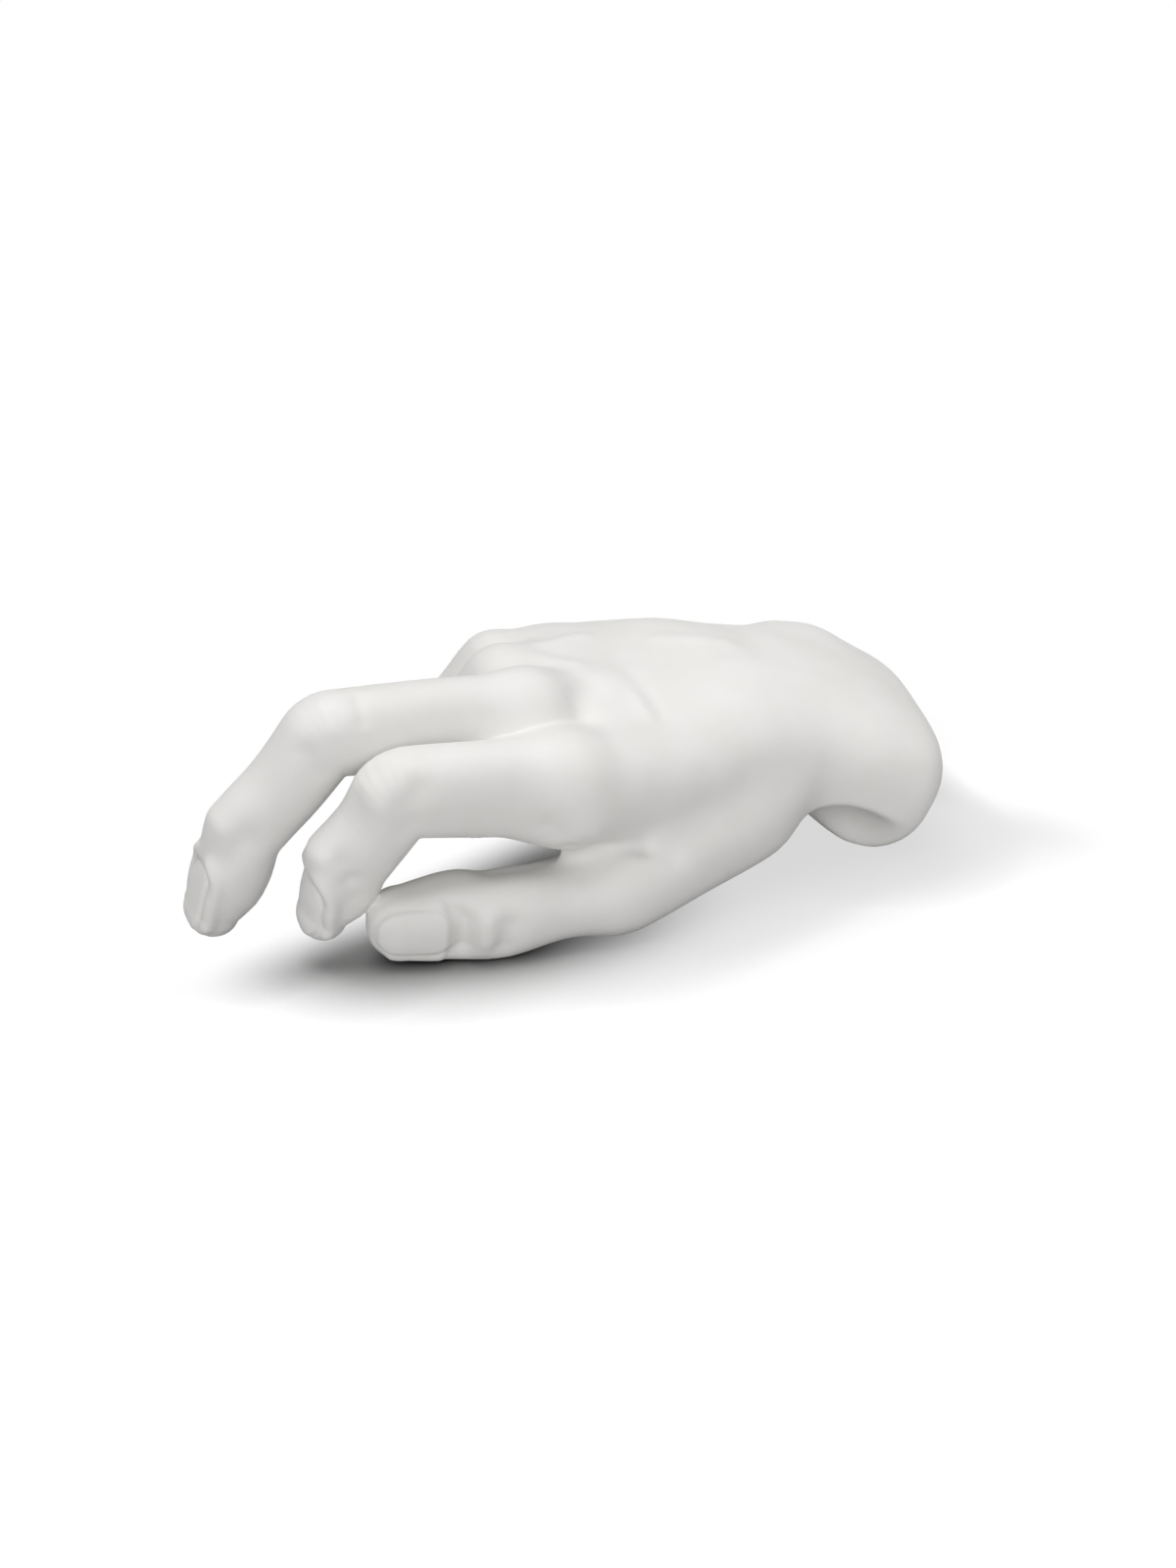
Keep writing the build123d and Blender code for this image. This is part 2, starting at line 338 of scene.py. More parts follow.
def ease(t):
    t = np.clip(t, 0, 1)
    return t * t * (3 - 2 * t)


def ridge(distance, reach):
    return np.exp(-(distance / reach) ** 2)


def smooth_values(stations, values, at):
    """Smooth curve through a few values at their stations."""
    stations, values = np.asarray(stations, float), np.asarray(values, float)
    slopes = np.gradient(values, stations)
    k = np.clip(np.searchsorted(stations, at) - 1, 0, len(stations) - 2)
    gap = stations[k + 1] - stations[k]
    t = np.clip((at - stations[k]) / gap, 0, 1)
    a, b = values[k], values[k + 1]
    bow = t * (1 - t)
    return a + (b - a) * ease(t) + gap * bow * (slopes[k] * (1 - t) - slopes[k + 1] * t)


def smooth_min(a, b, reach):
    """Union of two fields with a fillet of about that reach."""
    mix = np.maximum(reach - np.abs(a - b), 0) / reach
    return np.minimum(a, b) - mix * mix * reach / 4


def smooth_max(a, b, reach):
    return -smooth_min(-a, -b, reach)


class Digit:
    """Bent tube with its own width, back depth and palm depth at each station."""

    CORNER = 3.0
    CORNER_STEPS = 6
    STEP = 2.5
    BATCH = 20000
    BACK_POWER = 2.15
    PAD_POWER = 2.35

    def __init__(self, joints, lateral, stations, wide, back, palm):
        joints = np.asarray(joints, float)
        path, along = [], []
        runs = unit(np.diff(joints, axis=0))
        lengths = np.linalg.norm(np.diff(joints, axis=0), axis=1)
        last = len(runs) - 1
        for i, (run, length) in enumerate(zip(runs, lengths)):
            lead = self.CORNER if i else 0.0
            trail = self.CORNER if i < last else 0.0
            count = max(int((length - lead - trail) / self.STEP), 2)
            for s in np.linspace(lead, length - trail, count, endpoint=i == last):
                path.append(joints[i] + run * s)
                along.append(i + s / length)
            if i < last:
                start = joints[i + 1] - run * trail
                end = joints[i + 1] + runs[i + 1] * self.CORNER
                before, after = i + 1 - trail / length, i + 1 + self.CORNER / lengths[i + 1]
                for t in np.linspace(0, 1, self.CORNER_STEPS, endpoint=False):
                    path.append((1 - t) ** 2 * start + 2 * t * (1 - t) * joints[i + 1] + t * t * end)
                    along.append(before + (after - before) * t)
        self.path = np.array(path)
        self.along = np.array(along)
        self.tangent = unit(np.gradient(self.path, axis=0))
        side = np.broadcast_to(lateral, self.tangent.shape)
        self.side = unit(side - self.tangent * np.sum(side * self.tangent, axis=1, keepdims=True))
        self.up = np.cross(self.tangent, self.side)
        self.wide = smooth_values(stations, wide, self.along)
        self.back = smooth_values(stations, back, self.along)
        self.palm = smooth_values(stations, palm, self.along)
        self.reach = max(self.wide.max(), self.back.max(), self.palm.max())
        self.last_bone = lengths[-1]
        self.joints, self.runs = joints, runs

    def local(self, points):
        """Station of each point, its place sideways, upwards and endways, and the section there."""
        starts, spans = self.path[:-1], np.diff(self.path, axis=0)
        squares = np.sum(spans * spans, axis=1)
        row = np.empty(len(points))
        for first in range(0, len(points), self.BATCH):
            batch = points[first:first + self.BATCH]
            ahead = batch @ spans.T - np.sum(starts * spans, axis=1)
            t = np.clip(ahead / squares, 0, 1)
            distance = np.sum(starts * starts, axis=1) - 2 * batch @ starts.T + t * (t * squares - 2 * ahead)
            nearest = np.argmin(distance, axis=1)
            row[first:first + self.BATCH] = nearest + t[np.arange(len(batch)), nearest]
        low = np.minimum(row.astype(int), len(self.path) - 2)
        t = (row - low)[:, None]

        def between(values):
            weight = t if values.ndim > 1 else t[:, 0]
            return values[low] * (1 - weight) + values[low + 1] * weight

        offset = points - between(self.path)
        u = np.sum(offset * between(self.side), axis=1)
        v = np.sum(offset * between(self.up), axis=1)
        w = np.sum(offset * between(self.tangent), axis=1)
        return between(self.along), u, v, w, between(self.wide), between(self.back), between(self.palm)

    def field(self, points):
        _, u, v, w, wide, back, palm = self.local(points)
        deep = np.where(v > 0, back, palm)
        power = np.where(v > 0, self.BACK_POWER, self.PAD_POWER)
        length = np.sqrt(u * u + v * v + w * w) + TINY
        ratio = np.abs(u / wide) ** power + np.abs(v / deep) ** power + np.abs(w / wide) ** power
        return length * (1 - 1 / np.maximum(ratio ** (1 / power), LEAST_RATIO))

    def on_skin(self, along, angle):
        """Point on the skin at a station, at an angle from the middle of the back."""
        at = np.interp(along, self.along, np.arange(len(self.along)))
        low = min(int(at), len(self.path) - 2)
        t = at - low
        a = math.radians(angle)

        def between(values):
            return values[low] * (1 - t) + values[low + 1] * t

        deep = between(self.back if math.cos(a) > 0 else self.palm)
        sideways = between(self.side) * between(self.wide) * math.sin(a)
        upwards = between(self.up) * deep * math.cos(a)
        return between(self.path) + sideways + upwards


def finger_joints(finger):
    """Joints of a finger from its bends, and the direction across it."""
    lean = math.radians(finger["spread"])
    lateral = np.array((-math.sin(lean), math.cos(lean), 0))
    ahead = np.array((math.cos(lean), math.sin(lean), 0))
    down = np.array((0, 0, -1.0))
    joints = [np.array(finger["knuckle"], float)]
    bend = 0.0
    for length, more in zip(finger["lengths"], finger["bends"]):
        bend += math.radians(more)
        joints.append(joints[-1] + length * (ahead * math.cos(bend) + down * math.sin(bend)))
    return joints, lateral


def thumb_joints():
    joints = [np.array(THUMB_HEEL, float), np.array(THUMB_ROOT, float)]
    for length, heading, rise in THUMB_BONES:
        h, r = math.radians(heading), math.radians(rise)
        run = np.array((math.cos(h) * math.cos(r), math.sin(h) * math.cos(r), math.sin(r)))
        joints.append(joints[-1] + length * run)
    bone = joints[3] - joints[2]
    nail_side = unit(np.cross((0, 0, 1), bone))
    return joints, unit(np.cross(nail_side, bone))


def palm_field(points):
    """Wrist and palm from their sections, whose planes are slanted."""
    table = np.array(PALM_SECTIONS, float)
    stations = table[:, 0]
    dense = np.linspace(stations[0], stations[-1], PALM_STEPS)
    columns = [smooth_values(stations, table[:, i], dense) for i in range(1, table.shape[1])]

    def at(x):
        return [np.interp(x, dense, column) for column in columns]

    x = points[:, 0].copy()
    for _ in range(PALM_SLANT_ROUNDS):
        here = at(x)
        y, slant = here[0], np.radians(here[-1])
        x = x + (points[:, 0] - x) * np.cos(slant) + (points[:, 1] - y) * np.sin(slant)
        x = np.clip(x, stations[0], stations[-1])
    y, z, half, back, palm, arch, slant = at(x)
    slant = np.radians(slant)
    ahead, aside = points[:, 0] - x, points[:, 1] - y
    u = aside * np.cos(slant) - ahead * np.sin(slant)
    over = ahead * np.cos(slant) + aside * np.sin(slant)
    v = points[:, 2] - z - arch * (1 - np.clip(u / half, -1, 1) ** 2)
    deep = np.where(v > 0, back, palm)
    length = np.sqrt(u * u + v * v + over * over) + TINY
    cap = np.maximum(deep, PALM_END_DEPTH)
    ratio = np.abs(u / half) ** PALM_POWER + np.abs(v / deep) ** PALM_POWER + np.abs(over / cap) ** PALM_POWER
    ratio = ratio ** (1 / PALM_POWER)
    return length * (1 - 1 / np.maximum(ratio, LEAST_RATIO))


def round_cone(points, start, end, start_radius, end_radius):
    start, end = np.asarray(start, float), np.asarray(end, float)
    span = end - start
    offset = points - start
    t = np.clip(offset @ span / (span @ span), 0, 1)
    gap = offset - t[:, None] * span
    return np.linalg.norm(gap, axis=1) - (start_radius + (end_radius - start_radius) * t)


def nail_relief(digit, nail, points):
    """Height of a nail's plate, of the groove round it and of its skin folds over the smooth tip."""
    along, u, v, w, wide, back, _ = digit.local(points)
    far = (along - nail.root) * digit.last_bone + w
    aside = (np.arctan2(u, v) - math.radians(nail.middle)) * (wide + back) / 2
    share = np.abs(aside) / nail.half
    over = np.abs(aside) - nail.half + nail.corner
    beyond = np.abs(far - nail.length / 2) - nail.length / 2 + nail.corner
    inside = np.minimum(np.maximum(over, beyond), 0)
    edge = np.hypot(np.maximum(over, 0), np.maximum(beyond, 0)) + inside - nail.corner
    plate = ease(-edge / PLATE_SOFTNESS)
    skin = ease((nail.length - FREE_EDGE - far) / FREE_EDGE_SOFTNESS)
    behind = ease((BEHIND_PLACE - far) / BEHIND_SOFTNESS) * ease(BEHIND_WIDTH - share) * (nail.sink > 0)
    fold = (1 - behind) * (nail.inner + (1 - nail.inner) * ease(aside / nail.half + 0.5))
    fold_height = FOLD_BASE + (nail.fold - FOLD_BASE) * ease(share - 0.1)
    height = plate * (nail.proud + nail.upturn * (aside / nail.half) ** 2)
    groove = GROOVE_DEPTH * ridge(edge - GROOVE_PLACE, GROOVE_WIDTH)
    height -= groove * fold * ease((nail.length - far) / GROOVE_FADE)
    height += skin * fold_height * ridge(edge - FOLD_PLACE, FOLD_WIDTH) * fold
    height -= (1 - skin) * TIP_DEPTH * ridge(edge - TIP_PLACE, TIP_WIDTH)
    sunk = nail.sink * behind * ridge(edge - SINK_PLACE, SINK_WIDTH)
    return height - sunk * ease((edge + SINK_EDGE) / SINK_SOFTNESS)


def stroke_relief(points, path, reach, height):
    """Height of a stroke along a path, over points on the skin."""
    path = np.array(path, float)
    low, high = path.min(axis=0) - STROKE_SPAN * reach, path.max(axis=0) + STROKE_SPAN * reach
    near = np.all((points > low) & (points < high), axis=1)
    gaps = [round_cone(points[near], a, b, 0.0, 0.0) for a, b in zip(path, path[1:])]
    relief = np.zeros(len(points))
    relief[near] = height * ridge(np.min(gaps, axis=0), reach)
    return relief


class Clay:
    """Grid that the shapes are added to, each only near where it is."""

    MARGIN = 2.0

    def __init__(self):
        low, high = cad_bounds
        border = 3 * VOXEL
        self.low = np.array(low) / MM - border
        self.shape = tuple(np.ceil((np.array(high) / MM + border - self.low) / VOXEL).astype(int) + 1)
        self.field = np.full(self.shape, FAR)

    def near(self, centres, reach):
        """Grid slice around some points of the hand, and its points in the hand's frame."""
        row = to_row(np.atleast_2d(centres))
        first = np.floor((row.min(axis=0) - reach - self.low) / VOXEL).astype(int)
        last = np.ceil((row.max(axis=0) + reach - self.low) / VOXEL).astype(int) + 1
        first, last = np.maximum(first, 0), np.minimum(last, self.shape)
        axes = [self.low[i] + VOXEL * np.arange(first[i], last[i]) for i in range(3)]
        grid = np.stack(np.meshgrid(*axes, indexing="ij"), axis=-1)
        where = tuple(slice(a, b) for a, b in zip(first, last))
        return where, to_hand(grid.reshape(-1, 3)), grid.shape[:3]

    def add(self, centres, reach, field, fillet):
        where, points, shape = self.near(centres, reach + fillet + self.MARGIN)
        value = field(points).reshape(shape)
        self.field[where] = smooth_min(self.field[where], value, fillet)

    def carve(self, centres, reach, field, fillet):
        where, points, shape = self.near(centres, reach + fillet + self.MARGIN)
        value = field(points).reshape(shape)
        self.field[where] = smooth_max(self.field[where], -value, fillet)


def cone(*shape):
    """Field of a round cone with both ends and radii given."""
    return lambda points: round_cone(points, *shape)


digits = {}
for name, finger in FINGERS.items():
    joints, lateral = finger_joints(finger)
    digits[name] = Digit(joints, lateral, FINGER_STATIONS, finger["wide"], finger["back"], finger["palm"])
joints, lateral = thumb_joints()
digits["thumb"] = Digit(joints, lateral, THUMB_STATIONS, THUMB_WIDE, THUMB_BACK, THUMB_PALM)

# Palm and wrist, with the bones and webs that show through the skin
clay = Clay()
palm_centres = np.array([section[:3] for section in PALM_SECTIONS])
clay.add(palm_centres, PALM_SPAN, palm_field, PALM_FILLET)
for name, finger in FINGERS.items():
    knuckle = np.array(finger["knuckle"], float)
    rise, radius = METACARPALS[name]
    start = np.array((METACARPAL_START, knuckle[1] * METACARPAL_START_SPREAD, METACARPAL_START_HEIGHT))
    end = knuckle + np.array((-METACARPAL_SETBACK, 0, rise))
    bone = cone(start, end, METACARPAL_START_RADIUS, radius)
    clay.add([start, end], METACARPAL_SPAN, bone, METACARPAL_FILLET)
clay.add(INDEX_FLESH[:2], INDEX_FLESH_SPAN, cone(*INDEX_FLESH), INDEX_FLESH_FILLET)
knuckles = [np.array(finger["knuckle"], float) for finger in FINGERS.values()]
for one, other, reach, drop in zip(knuckles, knuckles[1:], WEB_REACHES, WEB_DROPS):
    middle = (one + other) / 2
    start, end = middle + np.array(WEB_START), middle + np.array((reach, 0, -drop))
    clay.add([start, end], WEB_SPAN, cone(start, end, *WEB_RADII), WEB_FILLET)
clay.add([WRIST_BONE_CROWN], WRIST_BONE_SPAN, cone(*WRIST_BONE), WRIST_BONE_FILLET)

# Digits on the palm: they flow into it, and crease where they touch each other
palm_only = clay.field.copy()
fingers_only = Clay()
for name in FINGERS:
    digit = digits[name]
    fingers_only.add(digit.path, digit.reach, digit.field, DIGIT_CREASE)
thumb_only = Clay()
thumb_only.add(digits["thumb"].path, digits["thumb"].reach, digits["thumb"].field, DIGIT_CREASE)
with_fingers = smooth_min(clay.field, fingers_only.field, FINGER_FILLET)
with_thumb = smooth_min(clay.field, thumb_only.field, THUMB_FILLET)
clay.field = np.minimum(with_fingers, with_thumb)

# Cut wrist with its hollow and vent, and the feet ground flat on the table
where, points, shape = clay.near(palm_centres, STUMP_SPAN)
slant = math.radians(STUMP_SLANT)
stump_end = np.array(STUMP_END, float)
stump_run = np.array((math.cos(slant), math.sin(slant), 0))
stump_out = unit(np.array((-math.cos(slant), -math.sin(slant), -STUMP_LEAN)))
stump_plane = (points - stump_end) @ stump_out + STUMP_TRIM
clay.field[where] = smooth_max(clay.field[where], stump_plane.reshape(shape), STUMP_RIM_ROUNDING)
for one, other in zip(STUMP_HOLLOW, STUMP_HOLLOW[1:]):
    hollow = cone(one[:3], other[:3], one[3], other[3])
    clay.carve([one[:3], other[:3]], STUMP_HOLLOW_SPAN, hollow, STUMP_HOLLOW_FILLET)
vent_start, vent_end = stump_end - VENT_DEPTH * stump_run, stump_end + VENT_DEPTH * stump_run
vent = cone(vent_start, vent_end, VENT_RADIUS, VENT_RADIUS)
clay.carve([stump_end, vent_end], VENT_SPAN, vent, VENT_FILLET)
heights = clay.low[2] + VOXEL * np.arange(clay.shape[2])
clay.field = np.maximum(clay.field, -heights[None, None, :])

grid = openvdb.FloatGrid(background=FAR)
grid.copyFromArray(clay.field.astype(np.float32))
corners, _, quads = grid.convertToPolygons(isovalue=0.0, adaptivity=0.0)
vertices = clay.low + VOXEL * corners.astype(float)


def new_mesh(name, points, faces):
    made = bpy.data.meshes.new(name)
    made.from_pydata(points, [], faces)
    made.update()
    return made


def normals_of(mesh):
    flat = np.empty(len(mesh.vertices) * 3, np.float32)
    mesh.vertex_normals.foreach_get("vector", flat)
    return flat.reshape(-1, 3).astype(float)


# Strokes and nails move the smooth skin along its normals, and fade out at the flat feet
smooth = new_mesh("smooth", vertices, quads.tolist())
if sum(p.area * p.center.dot(p.normal) for p in smooth.polygons) < 0:
    quads = quads[:, ::-1]
    smooth.flip_normals()
hand = to_hand(vertices)
relief = np.zeros(len(vertices))
for path, reach, height in STROKES:
    relief += stroke_relief(hand, path, reach, height)
for name, marks, reach, height in DIGIT_STROKES:
    relief += stroke_relief(hand, [digits[name].on_skin(*mark) for mark in marks], reach, height)
for name, nail in NAILS.items():
    digit = digits[name]
    near = np.flatnonzero(np.linalg.norm(hand - digit.path[-1], axis=1) < digit.last_bone + digit.reach)
    near = near[digit.field(hand[near]) < NAIL_REACH]
    relief[near] += nail_relief(digit, nail, hand[near])
vertices = vertices + normals_of(smooth) * (relief * ease(vertices[:, 2] / FOOT_FADE))[:, None]

# The skin is cut along the seams and split into the pieces that are luted together
cloth = bmesh.new()
cloth.from_mesh(new_mesh("skin", vertices, quads.tolist()))
seams = {name: (digits[name].joints[0], digits[name].runs[0], FINGER_SEAM) for name in FINGERS}
seams["thumb"] = (digits["thumb"].joints[2], digits["thumb"].runs[2], THUMB_SEAM)
seams["wrist_stump"] = (stump_end, stump_run, STUMP_LENGTH)
planes = {}
for name, (joint, run, distance) in seams.items():
    planes[name] = to_row(joint + run * distance), PLACE_TURN @ run
    middle, normal = Vector(planes[name][0]), Vector(planes[name][1])
    span = STUMP_SEAM_SPAN if name == "wrist_stump" else DIGIT_SEAM_SPAN
    faces = []
    for face in cloth.faces:
        offset = face.verts[0].co - middle
        if abs(offset.dot(normal)) < SEAM_BAND and offset.length < span:
            faces.append(face)
    geometry = set(faces) | {e for f in faces for e in f.edges} | {v for f in faces for v in f.verts}
    bmesh.ops.bisect_plane(cloth, geom=list(geometry), plane_co=middle, plane_no=normal, dist=SEAM_SNAP)
skin = bpy.data.meshes.new("skin")
cloth.to_mesh(skin)
cloth.free()
skin_points = np.array([v.co for v in skin.vertices])
skin_normals = normals_of(skin)
skin_faces = [tuple(p.vertices) for p in skin.polygons]
centres = np.array([p.center for p in skin.polygons])

# Each face past a digit's seam goes to that digit, where the digit is nearer than the palm
hand = to_hand(centres)
cells = np.clip(np.round((centres - clay.low) / VOXEL).astype(int), 0, np.array(clay.shape) - 1)
closest = np.minimum(palm_only[tuple(cells.T)], FAR)
owner = np.full(len(centres), "palm_shell", dtype=object)
for name, digit in digits.items():
    to_path = np.linalg.norm(hand[:, None, :] - digit.path[None, ::PATH_STRIDE, :], axis=2).min(axis=1)
    near = to_path < digit.reach + DIGIT_MARGIN
    gap = np.full(len(centres), OUT_OF_REACH)
    gap[near] = digit.field(hand[near])
    middle, normal = planes[name]
    past = (centres - middle) @ normal > 0
    take = past & (gap < closest)
    owner[take] = name
    closest[take] = gap[take]
middle, normal = planes["wrist_stump"]
owner[((centres - middle) @ normal < 0) & (owner == "palm_shell")] = "wrist_stump"

# A small patch that is cut off from the rest of its piece goes to the piece around it
beside = {}
for index, face in enumerate(skin_faces):
    for edge in zip(face, face[1:] + face[:1]):
        beside.setdefault((min(edge), max(edge)), []).append(index)
pairs = np.array([faces for faces in beside.values() if len(faces) == 2])
joined = pairs[owner[pairs[:, 0]] == owner[pairs[:, 1]]]
patch, previous = np.arange(len(owner)), None
while previous is None or np.any(patch != previous):
    previous = patch.copy()
    np.minimum.at(patch, joined[:, 0], previous[joined[:, 1]])
    np.minimum.at(patch, joined[:, 1], previous[joined[:, 0]])
    patch = patch[patch]
small = np.bincount(patch, minlength=len(owner))[patch] < SMALLEST_PATCH
around = np.vstack((pairs, pairs[:, ::-1]))
around = around[small[around[:, 0]] & ~small[around[:, 1]]]
adopted = {patch[one]: owner[other] for one, other in around}
for index in np.flatnonzero(small):
    owner[index] = adopted.get(patch[index], owner[index])


def bisque():
    """Unglazed white clay with faint clouds and a fine grain."""
    material = bpy.data.materials.new("bisque")
    material.use_nodes = True
    nodes, links = material.node_tree.nodes, material.node_tree.links
    shader = nodes["Principled BSDF"]
    shader.inputs["Roughness"].default_value = CLAY_ROUGHNESS
    shader.inputs["Specular IOR Level"].default_value = CLAY_SPECULAR
    cloud = nodes.new("ShaderNodeTexNoise")
    cloud.inputs["Scale"].default_value = CLOUD_SCALE
    cloud.inputs["Detail"].default_value = CLOUD_DETAIL
    ramp = nodes.new("ShaderNodeValToRGB")
    for element, position, colour in zip(ramp.color_ramp.elements, CLOUD_RANGE, (CLAY_SHADE, CLAY_TINT)):
        element.position = position
        element.color = colour
    grain = nodes.new("ShaderNodeTexNoise")
    grain.inputs["Scale"].default_value = GRAIN_SCALE
    grain.inputs["Detail"].default_value = GRAIN_DETAIL
    bump = nodes.new("ShaderNodeBump")
    bump.inputs["Strength"].default_value = GRAIN_STRENGTH
    bump.inputs["Distance"].default_value = GRAIN_DEPTH
    place = nodes.new("ShaderNodeTexCoord")
    links.new(place.outputs["Object"], cloud.inputs["Vector"])
    links.new(place.outputs["Object"], grain.inputs["Vector"])
    links.new(cloud.outputs["Fac"], ramp.inputs["Fac"])
    links.new(ramp.outputs["Color"], shader.inputs["Base Color"])
    links.new(grain.outputs["Fac"], bump.inputs["Height"])
    links.new(bump.outputs["Normal"], shader.inputs["Normal"])
    return material


def seam_loops(faces):
    """Rims of a piece, each as a chain of corners that runs against the faces beside it."""
    edges = {(a, b) for f in faces for a, b in zip(f, f[1:] + f[:1])}
    ahead = {}
    for a, b in sorted(edges):
        if (b, a) not in edges:
            ahead.setdefault(b, []).append(a)
    loops = []
    while ahead:
        first = min(ahead)
        loop = [first]
        while True:
            nexts = ahead[loop[-1]]
            corner = nexts.pop()
            if not nexts:
                del ahead[loop[-1]]
            if corner == first:
                break
            loop.append(corner)
        loops.append(loop)
    return loops


# Each piece takes its faces with the normals of the whole skin, so no seam shows; flat rims get a cap
clay_material = bisque()
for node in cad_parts:
    chosen = np.flatnonzero(owner == node)
    used = sorted({i for f in chosen for i in skin_faces[f]})
    place = {old: new for new, old in enumerate(used)}
    faces = [tuple(place[i] for i in skin_faces[f]) for f in chosen]
    corners, normals = list(skin_points[used]), list(skin_normals[used])
    for loop in seam_loops(faces):
        rim = np.array([corners[i] for i in loop])
        middle = rim.mean(axis=0)
        spokes = rim - middle
        normal = np.cross(spokes, np.roll(spokes, -1, axis=0)).sum(axis=0)
        normal = normal / max(np.linalg.norm(normal), 1e-9)
        if np.abs(spokes @ normal).max() > SEAM_FLATNESS:
            continue
        base, count = len(corners), len(loop)
        corners += [*rim, middle]
        normals += [normal] * (count + 1)
        faces += [(base + i, base + (i + 1) % count, base + count) for i in range(count)]
    mesh = new_mesh(node, np.array(corners) * MM, faces)
    mesh.shade_smooth()
    mesh.normals_split_custom_set_from_vertices(normals)
    mesh.materials.append(clay_material)
    piece = bpy.data.objects.new(node + "_skin", mesh)
    bpy.context.collection.objects.link(piece)
    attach(piece, "root")
    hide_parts(node)


def product(tree, one, other):
    both = tree.nodes.new("ShaderNodeMath")
    both.operation = "MULTIPLY"
    tree.links.new(one, both.inputs[0])
    tree.links.new(other, both.inputs[1])
    return both.outputs["Value"]


def soft_line(tree, place, direction, start, full, most):
    """Value that rises from nothing to its most across a line on the floor."""
    across = tree.nodes.new("ShaderNodeVectorMath")
    across.operation = "DOT_PRODUCT"
    across.inputs[1].default_value = direction
    rise = tree.nodes.new("ShaderNodeMapRange")
    rise.interpolation_type = "SMOOTHSTEP"
    rise.inputs["From Min"].default_value = start
    rise.inputs["From Max"].default_value = full
    rise.inputs["To Max"].default_value = most
    tree.links.new(place, across.inputs[0])
    tree.links.new(across.outputs["Value"], rise.inputs["Value"])
    return rise.outputs["Result"]


def painted_grey_over(tree, share, shader, level):
    """Emission of a plain level of grey over a shader, by a share: the floor's painted shadow and painted
    white.
    """
    grey = tree.nodes.new("ShaderNodeEmission")
    grey.inputs["Strength"].default_value = level
    mix = tree.nodes.new("ShaderNodeMixShader")
    tree.links.new(share, mix.inputs["Fac"])
    tree.links.new(shader, mix.inputs[1])
    tree.links.new(grey.outputs["Emission"], mix.inputs[2])
    return mix.outputs["Shader"]


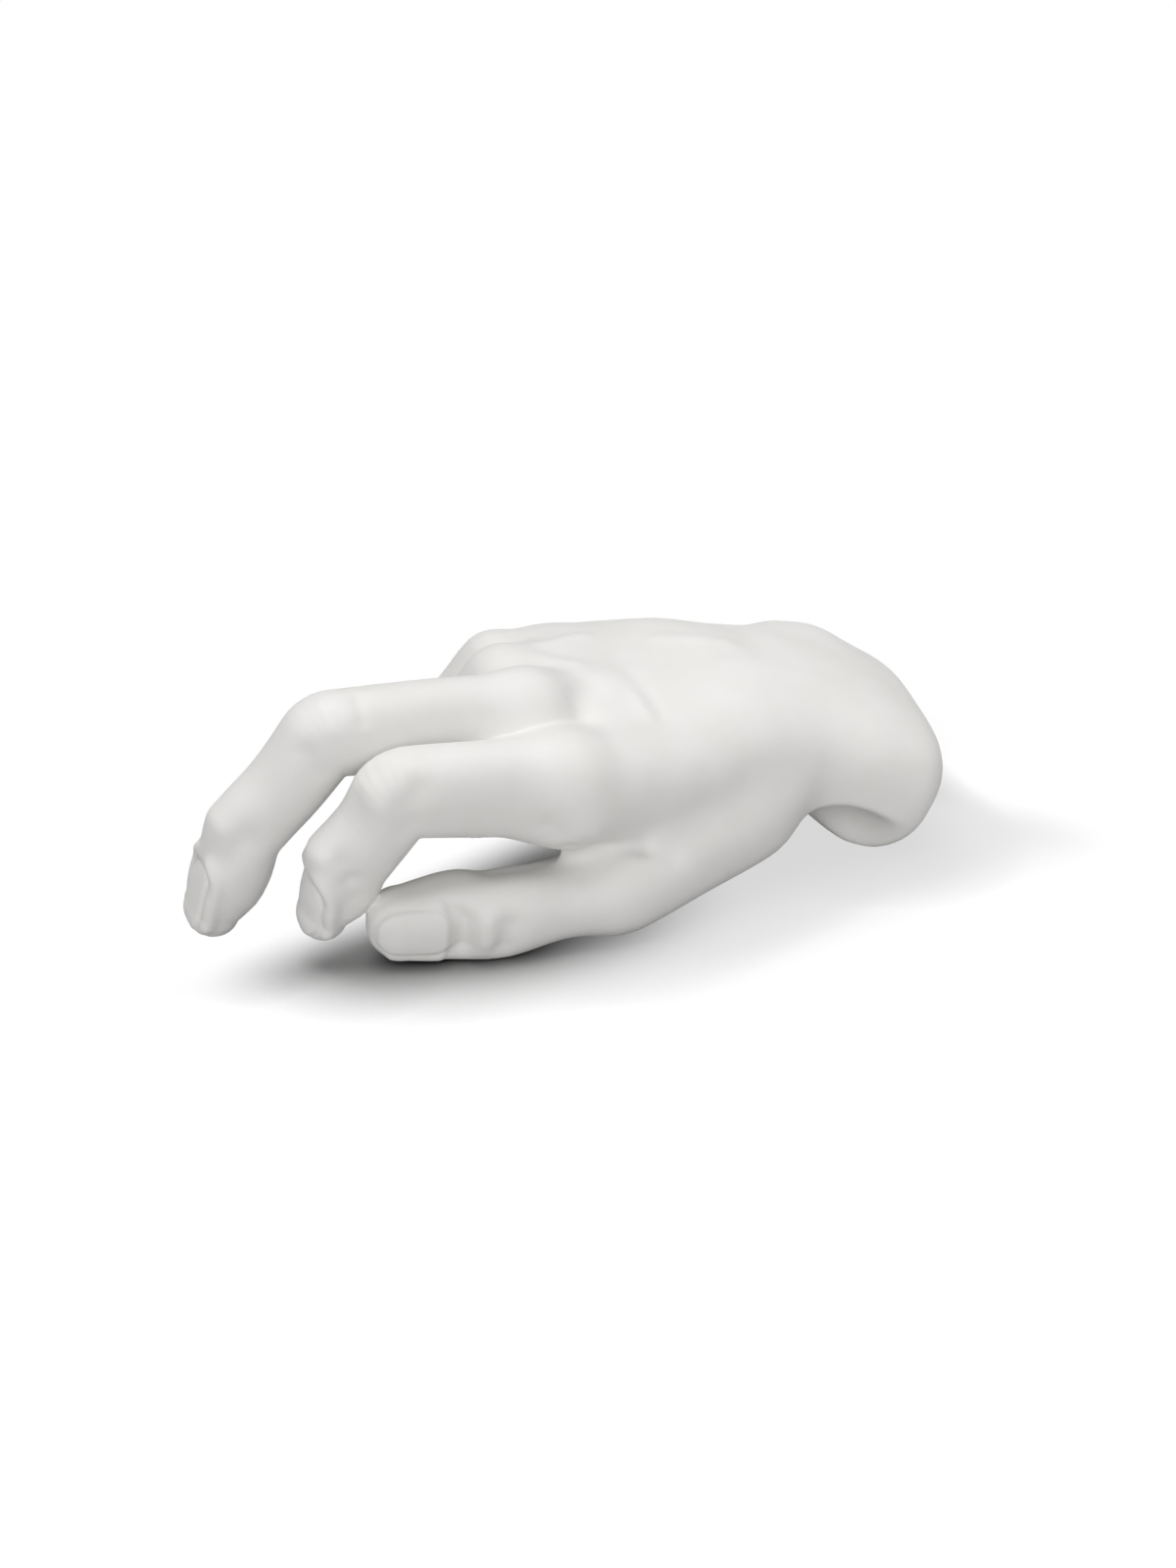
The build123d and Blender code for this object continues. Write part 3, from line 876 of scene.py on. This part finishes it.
def paper():
    """White floor with a contact shadow painted by ambient occlusion, and for the camera a painted grey
    shadow and painted white over it, retouched as the photo's background is.
    """
    material = bpy.data.materials.new("paper")
    material.use_nodes = True
    tree = material.node_tree
    nodes, links = tree.nodes, tree.links
    surface = nodes["Principled BSDF"]
    surface.inputs["Roughness"].default_value = FLOOR_ROUGHNESS
    surface.inputs["Specular IOR Level"].default_value = 0.0
    sight = nodes.new("ShaderNodeLightPath")
    seen = nodes.new("ShaderNodeMath")
    seen.operation = "MAXIMUM"
    links.new(sight.outputs["Is Camera Ray"], seen.inputs[0])
    links.new(sight.outputs["Is Glossy Ray"], seen.inputs[1])
    # Painted contact shadow: ambient occlusion darkens the floor's colour near the hand, as the camera sees
    # it
    contact = nodes.new("ShaderNodeAmbientOcclusion")
    contact.inputs["Distance"].default_value = PAINTED_CONTACT_SHADE_REACH
    painted_contact_shade = nodes.new("ShaderNodeMath")
    painted_contact_shade.operation = "POWER"
    painted_contact_shade.inputs[1].default_value = PAINTED_CONTACT_SHADE_POWER
    tone = nodes.new("ShaderNodeMix")
    tone.data_type = "RGBA"
    tone.inputs["A"].default_value = FLOOR_BOUNCE
    links.new(contact.outputs["AO"], painted_contact_shade.inputs[0])
    links.new(painted_contact_shade.outputs["Value"], tone.inputs["B"])
    links.new(seen.outputs["Value"], tone.inputs["Factor"])
    links.new(tone.outputs["Result"], surface.inputs["Base Color"])
    place = nodes.new("ShaderNodeTexCoord").outputs["Object"]
    # Painted shadow: grey emission over the floor for camera rays, where all its soft lines rise
    painted_shadow = sight.outputs["Is Camera Ray"]
    for line in PAINTED_SHADOW_LINES:
        painted_shadow = product(tree, soft_line(tree, place, *line), painted_shadow)
    # Painted light: white emission over the floor for camera rays, past its soft line, hiding the hand's
    # shadow there
    painted_white = product(tree, soft_line(tree, place, *PAINTED_WHITE_LINE), sight.outputs["Is Camera Ray"])
    with_painted_shadow = painted_grey_over(tree, painted_shadow, surface.outputs["BSDF"], PAINTED_SHADOW_LEVEL)
    painted_floor = painted_grey_over(tree, painted_white, with_painted_shadow, PAINTED_WHITE_LEVEL)
    links.new(painted_floor, nodes["Material Output"].inputs["Surface"])
    return material


def soft_sun(name, towards, elevation, strength, softness):
    """Even light from a direction given on the floor and a height above it, in degrees."""
    flat, lift = Vector((*towards, 0)).normalized(), math.radians(elevation)
    data = bpy.data.lights.new(name, "SUN")
    data.energy = strength
    data.angle = math.radians(softness)
    lamp = bpy.data.objects.new(name, data)
    source = flat * math.cos(lift) + Vector((0, 0, math.sin(lift)))
    lamp.rotation_euler = (-source).to_track_quat("-Z", "Y").to_euler()
    bpy.context.collection.objects.link(lamp)


# Stage: white floor under a sky that is white to the camera and dim to the hand, and three soft lamps
h = FLOOR_HALF
floor_mesh = bpy.data.meshes.new("floor")
floor_mesh.from_pydata([(-h, -h, 0), (h, -h, 0), (h, h, 0), (-h, h, 0)], [], [(0, 1, 2, 3)])
floor = bpy.data.objects.new("floor", floor_mesh)
bpy.context.collection.objects.link(floor)
floor_mesh.materials.append(paper())

world = bpy.data.worlds.new("studio")
bpy.context.scene.world = world
world.use_nodes = True
sky = world.node_tree.nodes["Background"]
sky.inputs["Color"].default_value = (1, 1, 1, 1)
view = world.node_tree.nodes.new("ShaderNodeLightPath")
level = world.node_tree.nodes.new("ShaderNodeMapRange")
level.inputs["To Min"].default_value = SKY_LEVEL
world.node_tree.links.new(view.outputs["Is Camera Ray"], level.inputs["Value"])
world.node_tree.links.new(level.outputs["Result"], sky.inputs["Strength"])
for name, lamp in LAMPS.items():
    soft_sun(name, *lamp)

a, e = math.radians(CAMERA_AZIMUTH), math.radians(CAMERA_PITCH)
away = Vector((math.sin(a) * math.cos(e), -math.cos(a) * math.cos(e), math.sin(e)))
camera_data = bpy.data.cameras.new("camera")
camera_data.lens = CAMERA_LENS
camera = bpy.data.objects.new("camera", camera_data)
camera.location = Vector(CAMERA_TARGET) + away * CAMERA_DISTANCE
camera.rotation_euler = (-away).to_track_quat("-Z", "Y").to_euler()
bpy.context.collection.objects.link(camera)
bpy.context.scene.camera = camera
bpy.context.scene.view_settings.view_transform = "Standard"
